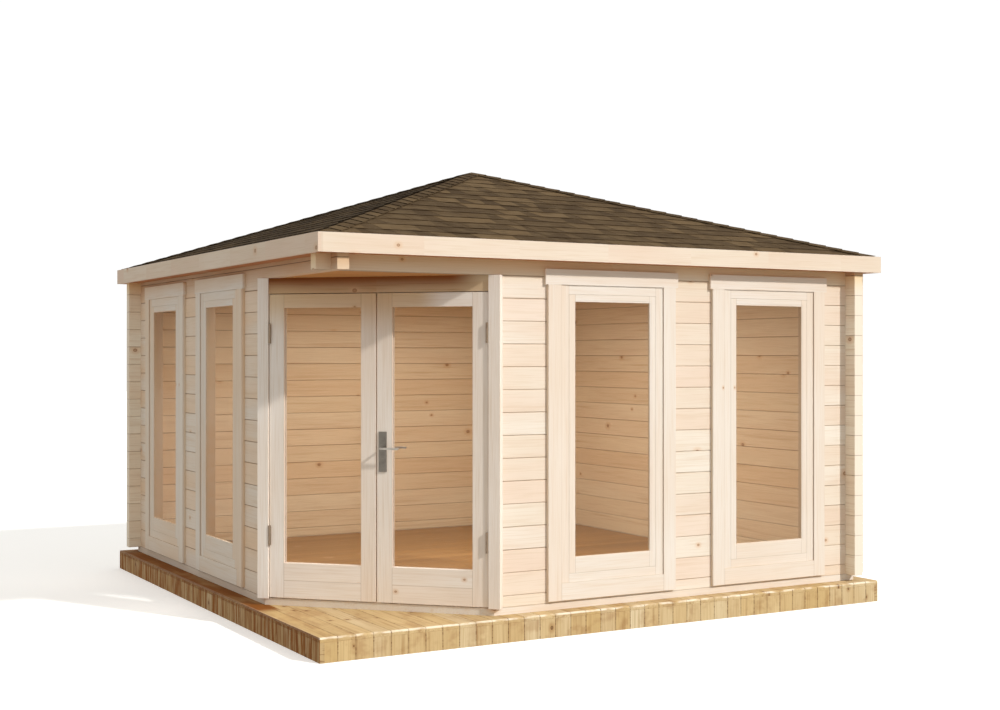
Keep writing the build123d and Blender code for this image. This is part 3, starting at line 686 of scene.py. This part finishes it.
def deckFinish(name, grainUp):
    finish, start, x, y, z = newFinish(name)
    look = deckLook
    side = abs(x) > deckHigh.x - deck["skirtThick"] - deck["skin"]
    run = side.pick(x, y) if grainUp else x
    board = ((run - deckLow.x) / deckPitch).whole() + 0.5
    v = run - deckLow.x - board * deckPitch
    u = z if grainUp else y
    w = abs(side.pick(y, x)) - look["centreOut"] if grainUp else z - look["centreUp"]
    if grainUp:
        board = board + side * 67.0 + (side.pick(y, x) > 0.0) * 131.0
    # Dirt gathers in spots along the joints between boards
    spots = start.cloud(x * 9.0, y * 55.0, z * 70.0).fade(0.50, 0.62)
    seam = (deckPitch / 2 - abs(v)).line(look["seamWidth"]) * (spots * 0.55 + 0.22)
    # The left side has painted shade: dark streaks down its upright boards, dark patches on the top ones
    # beside the wall
    leftFace = x < deckLow.x + deck["skin"] * 2
    along = leftFace.pick(run, y)
    streaks = start.cloud(x * 3.0, along * 26.0, z * 2.0, 4.0, 0.7).fade(0.40, 0.60) * 0.70 + 0.40
    patches = start.cloud(x * 6.0, y * 2.4, 3.0).fade(0.3, 0.6) * 0.35 + 0.7
    onTop = z > deckHigh.z - deck["round"]
    shaded = (x < look["deckShadeTo"]) * y.fade(*look["deckShadeFrom"])
    deckShade = leftFace.larger(shaded) * onTop.pick(streaks * ((board + 0.3).chance() * 0.5 + 0.7), patches)
    # Brown stains, larger along the boards
    stains = start.cloud(x * 8.0, y * 3.5, z * 9.0, 3.0, 0.6).fade(0.47, 0.66) * 0.30
    # Painted highlight: the front edge is pale, the left one less
    highlightSides = (y < deckLow.y + deck["round"]).larger((x < deckLow.x + deck["round"]) * look["highlightLeft"])
    edge = (z - deckHigh.z + look["highlightDown"]).line(look["highlightWidth"]) * highlightSides
    edge = edge * start.cloud(x * 11.0, 5.0, z * 40.0).fade(0.36, 0.62)
    timber(start, look, u, v, w, board, seam=seam, shadeAndStains=deckShade.larger(stains),
           highlight=edge * look["highlightShare"])
    return finish


deckBoards().make("deck_top_boards", deckFinish("deck_board_wood", False), "deck_wood", "deck_boards")
deckUprights().make("deck_upright_boards", deckFinish("deck_upright_wood", True), "deck_wood", "deck_skirts")
print("deck boards laid")

# Floor inside: oiled boards cut to the five corners of the room. The plane of the door lies at
# doorPlane from the middle of the cabin, and the cut ends a little behind it.
planks = {"width": 0.120, "gap": 0.001, "ease": 0.0015, "doorPlane": 1.98556, "behind": 0.075}
floorLow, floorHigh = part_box("floor_boards")
plankCount = round((floorHigh.x - floorLow.x) / planks["width"])
plankPitch = (floorHigh.y - floorLow.y) / plankCount
cutSum = math.sqrt(2) * (planks["doorPlane"] - planks["behind"])    # the cut runs through x + y = -cutSum


def floorPlanks():
    stack = Stack()
    for k in range(plankCount):
        y0 = floorLow.y + k * plankPitch + planks["gap"] / 2
        y1 = y0 + plankPitch - planks["gap"]
        work = bmesh.new()
        lows = [max(floorLow.x, -cutSum - y) for y in (y0, y1)]
        outline = [(lows[0], y0), (floorHigh.x, y0), (floorHigh.x, y1), (lows[1], y1)]
        base = [work.verts.new((x, y, floorLow.z)) for x, y in outline]
        face = work.faces.new(base[::-1])
        raised = bmesh.ops.extrude_face_region(work, geom=[face])
        tops = [v for v in raised["geom"] if isinstance(v, bmesh.types.BMVert)]
        bmesh.ops.translate(work, verts=tops, vec=(0, 0, floorHigh.z - floorLow.z))
        bmesh.ops.recalc_face_normals(work, faces=work.faces[:])
        sharp = [e for e in work.edges if e.calc_face_angle(0.0) > 0.6]
        bmesh.ops.bevel(work, geom=sharp, offset=planks["ease"], segments=1, affect="EDGES")
        stack.take(work)
    return stack


floorLook = {
    **spruce, "pale": (0.41, 0.225, 0.077), "deep": (0.27, 0.133, 0.042), "blush": (0.44, 0.235, 0.077),
    "patch": (0.21, 0.10, 0.033), "fibre": (0.28, 0.14, 0.048), "streak": (0.22, 0.105, 0.032),
    "streaks": 0.5, "rough": 0.38, "seamWidth": 0.003, "seamDark": 0.6, "centreUp": 0.14,
}


def floorFinish(name):
    finish, start, x, y, z = newFinish(name)
    board = ((y - floorLow.y) / plankPitch).whole() + 0.5
    v = y - floorLow.y - board * plankPitch
    seam = (plankPitch / 2 - abs(v)).line(floorLook["seamWidth"]) * floorLook["seamDark"]
    timber(start, floorLook, x, v, z - floorLook["centreUp"], board, seam=seam)
    return finish


floorPlanks().make("floor_planks", floorFinish("floor_wood"), "floor_wood", "floor_boards")
print("floor laid")

# Roof covering: laminated felt shingles in courses, cut along the hips, then caps over the hips.
# Each course is a plain strip with slanted tabs on it. A range holds the least and the most.
roof = {
    "seed": 7, "board": 0.019, "margin": 0.003, "under": 0.0004, "exposure": 0.145, "lap": 0.05,
    "lift": 0.0056, "strip": 0.0028, "stripTone": (0.2, 0.5), "stripEdge": -0.3,
    "tab": 0.0012, "tabFirst": (0.0, 0.3), "tabWidth": (0.12, 0.42), "tabSlant": (0.010, 0.050),
    "tabGap": (-0.02, 0.12), "tabTone": (0.25, 1.0),
    "capHalf": 0.075, "capStep": 0.110, "capLap": 0.03, "capThick": 0.0030, "capBase": 0.0092,
    "capLift": 0.0055, "capTone": (0.1, 0.7), "darkEdge": -1.0,
}
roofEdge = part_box("roof_shingles")[1].x
boardsLow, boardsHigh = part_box("roof_boards")
apexHigh = boardsHigh.z                                 # top of the boards at the middle
roofRise = boardsHigh.z - boardsLow.z
# The rise of the boards is slope * roofEdge and their own upright thickness, board / cos(pitch)
reachSquared = roofEdge ** 2 - roof["board"] ** 2
slope = (roofRise * roofEdge - roof["board"] * math.sqrt(reachSquared + roofRise ** 2)) / reachSquared
pitch = math.atan(slope)


# Point of the front slope: x across, s down the slope from the apex, h above the boards
def onSlope(x, s, h):
    return Vector((x, -s * math.cos(pitch) - h * math.sin(pitch),
                   apexHigh - s * math.sin(pitch) + h * math.cos(pitch)))


# Part of a flat outline that keeps to one side of a line, where side is a point's distance from it
def keepSide(outline, side):
    kept = []
    for a, b in zip(outline, outline[1:] + outline[:1]):
        da, db = side(a), side(b)
        if da >= 0:
            kept.append(a)
        if (da > 0 > db) or (da < 0 < db):
            share = da / (da - db)
            kept.append((a[0] + (b[0] - a[0]) * share, a[1] + (b[1] - a[1]) * share))
    return kept


# Lays one outline of (x, s) on a roof quarter, cut at both hips. It rises from high to low on the slope.
def layShingle(cover, outline, turn, high, low, base, thick, tone, edge):
    for side in (1, -1):
        outline = keepSide(outline, lambda p: p[1] * math.cos(pitch) - side * p[0])
        if len(outline) < 3:
            return
    layers = []
    for level in (base, base + thick):
        heights = [level + roof["lift"] * (s - high) / (low - high) for x, s in outline]
        layers.append([turn @ onSlope(x, s, h) for (x, s), h in zip(outline, heights)])
    cover.plate(layers[0], layers[1], [s for x, s in outline], tone, edge)


def shingleTabs(dice):
    cover = Stack()
    slopeLength = (roofEdge - roof["margin"]) / math.cos(pitch)
    for quarter in range(4):
        turn = Matrix.Rotation(quarter * math.pi / 2, 3, "Z")
        for course in range(math.ceil(slopeLength / roof["exposure"])):
            low = slopeLength - course * roof["exposure"]
            high = max(low - roof["exposure"] - roof["lap"], 0.0)
            reach = low * math.cos(pitch)
            layShingle(cover, [(-reach, low), (reach, low), (reach, high), (-reach, high)], turn, high, low,
                       roof["under"], roof["strip"], dice.uniform(*roof["stripTone"]), roof["stripEdge"])
            x = -reach - dice.uniform(*roof["tabFirst"])
            while x < reach:
                width = dice.uniform(*roof["tabWidth"])
                slant = dice.uniform(*roof["tabSlant"])
                tab = [(x + slant, low), (x + width - slant, low), (x + width, high), (x, high)]
                layShingle(cover, tab, turn, high, low, roof["under"] + roof["strip"], roof["tab"],
                           dice.uniform(*roof["tabTone"]), roof["darkEdge"])
                x += width + dice.uniform(*roof["tabGap"])
    return cover


def hipCaps(dice):
    cover = Stack()
    length = math.sqrt(2) * (roofEdge - roof["margin"])    # in plan, from the middle to the corner
    capLength = roof["capStep"] + roof["capLap"]
    for quarter in range(4):
        turn = Matrix.Rotation(quarter * math.pi / 2, 3, "Z")
        for k in range(math.ceil(length / roof["capStep"])):
            low = length - k * roof["capStep"]
            high = max(low - capLength, 0.0)
            if low < roof["capLap"]:
                continue
            tone = dice.uniform(*roof["capTone"])
            # Plan points along the hip towards the near corner, then out to one side
            outline = [(low, 0.0), (low, roof["capHalf"]), (high, roof["capHalf"]), (high, 0.0)]
            outline = keepSide(outline, lambda p: length - p[0] - p[1])
            outline = keepSide(outline, lambda p: p[0] - p[1])
            if len(outline) < 3:
                continue
            down = [along for along, out in outline]
            for flip in (False, True):
                layers = []
                for level in (roof["capBase"], roof["capBase"] + roof["capThick"]):
                    layer = []
                    for along, out in outline:
                        x = diagonal * (out - along)
                        y = -diagonal * (along + out)
                        rise = (level + roof["capLift"] * (along - high) / capLength) / math.cos(pitch)
                        z = apexHigh - max(-x, -y) * slope + rise
                        layer.append(turn @ Vector((y, x, z) if flip else (x, y, z)))
                    layers.append(layer)
                cover.plate(layers[0], layers[1], down, tone, roof["darkEdge"], flip)
    return cover


feltLook = {
    "dark": (0.047, 0.028, 0.013), "light": (0.146, 0.095, 0.047), "patch": (0.165, 0.116, 0.064),
    "band": (0.038, 0.021, 0.010), "grit": (0.19, 0.135, 0.078), "edge": (0.012, 0.007, 0.003),
    "leftShade": 0.40, "rough": 0.85, "gloss": 0.12,
}


# Mineral felt: the tone of a face sets how light it is. The lower edges of tabs and caps are almost
# black, and those of the strips dark: painted shadow under each step.
def feltFinish(name):
    finish, start, x, y, z = newFinish(name)
    tone = start.add("ShaderNodeAttribute", {"attribute_name": "tone"}, None, 2)
    grit = start.cloud(x * 420.0, y * 420.0, z * 420.0, 2.0, 0.7)
    patch = start.cloud(x * 6.0, y * 6.0, z * 34.0, 3.0)
    band = start.cloud(x * 9.0 + y * 3.0, y * 9.0 - x * 3.0, z * 50.0)
    colour = tone.fade(-0.1, 1.1).tint(feltLook["dark"], feltLook["light"])
    colour = (patch.fade(0.46, 0.66) * 0.35).tint(colour, feltLook["patch"])
    colour = (band.fade(0.46, 0.66) * 0.35).tint(colour, feltLook["band"])
    colour = (grit.fade(0.45, 0.8) * 0.25).tint(colour, feltLook["grit"])
    # Painted shade: the left slope is darker than the others
    colour = ((x < -abs(y)) * feltLook["leftShade"]).tint(colour, (0.0, 0.0, 0.0))
    colour = (tone < -0.5).tint(colour, feltLook["edge"])
    surface(start, colour, grit * 0.15 + feltLook["rough"], grit + patch * 0.5, 0.0012,
            {"Specular IOR Level": feltLook["gloss"]})
    return finish


roofDice = random.Random(roof["seed"])
felt = feltFinish("mineral_felt")
shingleTabs(roofDice).make("shingles", felt, "shingle", "roof_shingles")
hipCaps(roofDice).make("hip_cap_strips", felt, "shingle", "hip_caps")
print("roof covered")

# Studio: pale floor and backdrop, soft key from the right and in front, even fill, a glow indoors
studio = {
    "aim": (0.0, 0.0, 1.3), "keyFrom": (0.395, -0.7315, 0.556), "keyFar": 10.0, "keyPower": 2.76,
    "keySoft": 2.5, "keyColour": (1.0, 0.98, 0.94),
    "roomPlace": (-0.2, -0.2, 2.10), "roomAim": (-0.2, -0.2, 0.0), "roomPower": 52.0, "roomSize": 2.8,
    "roomColour": (1.0, 0.93, 0.82),
    "fill": (1.0, 0.975, 0.91), "fillAbove": 0.65, "fillBelow": 0.46, "fillBlend": 0.25,
    "reach": 60.0, "floor": 0.92, "floorGlow": 0.34,
}


def addLight(name, kind, place, aim, power, colour):
    light = bpy.data.lights.new(name, kind)
    light.energy = power
    light.color = colour
    piece = bpy.data.objects.new(name, light)
    piece.location = place
    piece.rotation_euler = (aim - place).to_track_quat("-Z", "Y").to_euler()
    piece.visible_camera = False
    bpy.context.scene.collection.objects.link(piece)
    return light


keyAim = Vector(studio["aim"])
keyPlace = keyAim + Vector(studio["keyFrom"]) * studio["keyFar"]
key = addLight("key", "SUN", keyPlace, keyAim, studio["keyPower"], studio["keyColour"])
key.angle = math.radians(studio["keySoft"])
room = addLight("room", "AREA", Vector(studio["roomPlace"]), Vector(studio["roomAim"]), studio["roomPower"],
                studio["roomColour"])
room.shape = "DISK"
room.size = studio["roomSize"]

# Fill: brighter from above than from below
world = bpy.data.worlds.new("studio")
bpy.context.scene.world = world
world.use_nodes = True
world.node_tree.nodes.clear()
air = Sock(world.node_tree)
upward = air.add("ShaderNodeSeparateXYZ", None, {0: air.add("ShaderNodeTexCoord")}, 2)
below, above = [[c * studio[part] for c in studio["fill"]] for part in ("fillBelow", "fillAbove")]
skyColour = upward.fade(-studio["fillBlend"], studio["fillBlend"]).tint(below, above)
sky = air.add("ShaderNodeBackground", None, {"Color": skyColour})
air.add("ShaderNodeOutputWorld", None, {"Surface": sky})


def stagePiece(name, points, faces, colour, glow):
    mesh = bpy.data.meshes.new(name)
    mesh.from_pydata(points, [], faces)
    paint = bpy.data.materials.new(name + "_paint")
    paint.use_nodes = True
    shader = paint.node_tree.nodes["Principled BSDF"]
    shader.inputs["Base Color"].default_value = (colour, colour, colour, 1.0)
    shader.inputs["Roughness"].default_value = 0.9
    shader.inputs["Emission Color"].default_value = (1.0, 1.0, 1.0, 1.0)
    shader.inputs["Emission Strength"].default_value = glow
    mesh.materials.append(paint)
    piece = bpy.data.objects.new(name, mesh)
    bpy.context.scene.collection.objects.link(piece)
    return piece


far = studio["reach"]
floorStage = stagePiece("studio_floor", [(-far, -far, 0), (far, -far, 0), (far, far, 0), (-far, far, 0)],
                        [(0, 1, 2, 3)], studio["floor"], studio["floorGlow"])
floorStage.visible_diffuse = False
# The backdrop only shows: it gives no light and stops none
dome = bmesh.new()
bmesh.ops.create_icosphere(dome, subdivisions=4, radius=far)
backdrop = stagePiece("studio_backdrop", [v.co[:] for v in dome.verts],
                      [[v.index for v in face.verts] for face in dome.faces], 0.0, 1.0)
dome.free()
backdrop.visible_diffuse = False
backdrop.visible_glossy = False
backdrop.visible_transmission = False
backdrop.visible_shadow = False

# Camera at the photograph's view, with angles in degrees and the lens in millimetres
view = {"place": (-5.0468, -9.3164, 1.6628), "turn": -29.58, "tilt": 0.045, "lens": 52.117, "sensor": 36.0}
camera = bpy.data.objects.new("camera", bpy.data.cameras.new("camera"))
camera.location = view["place"]
camera.rotation_euler = (math.radians(90 + view["tilt"]), 0.0, math.radians(view["turn"]))
camera.data.lens = view["lens"]
camera.data.sensor_width = view["sensor"]
camera.data.sensor_fit = "HORIZONTAL"
bpy.context.scene.collection.objects.link(camera)
bpy.context.scene.camera = camera
bpy.context.scene.view_settings.view_transform = "Standard"
print("studio ready")
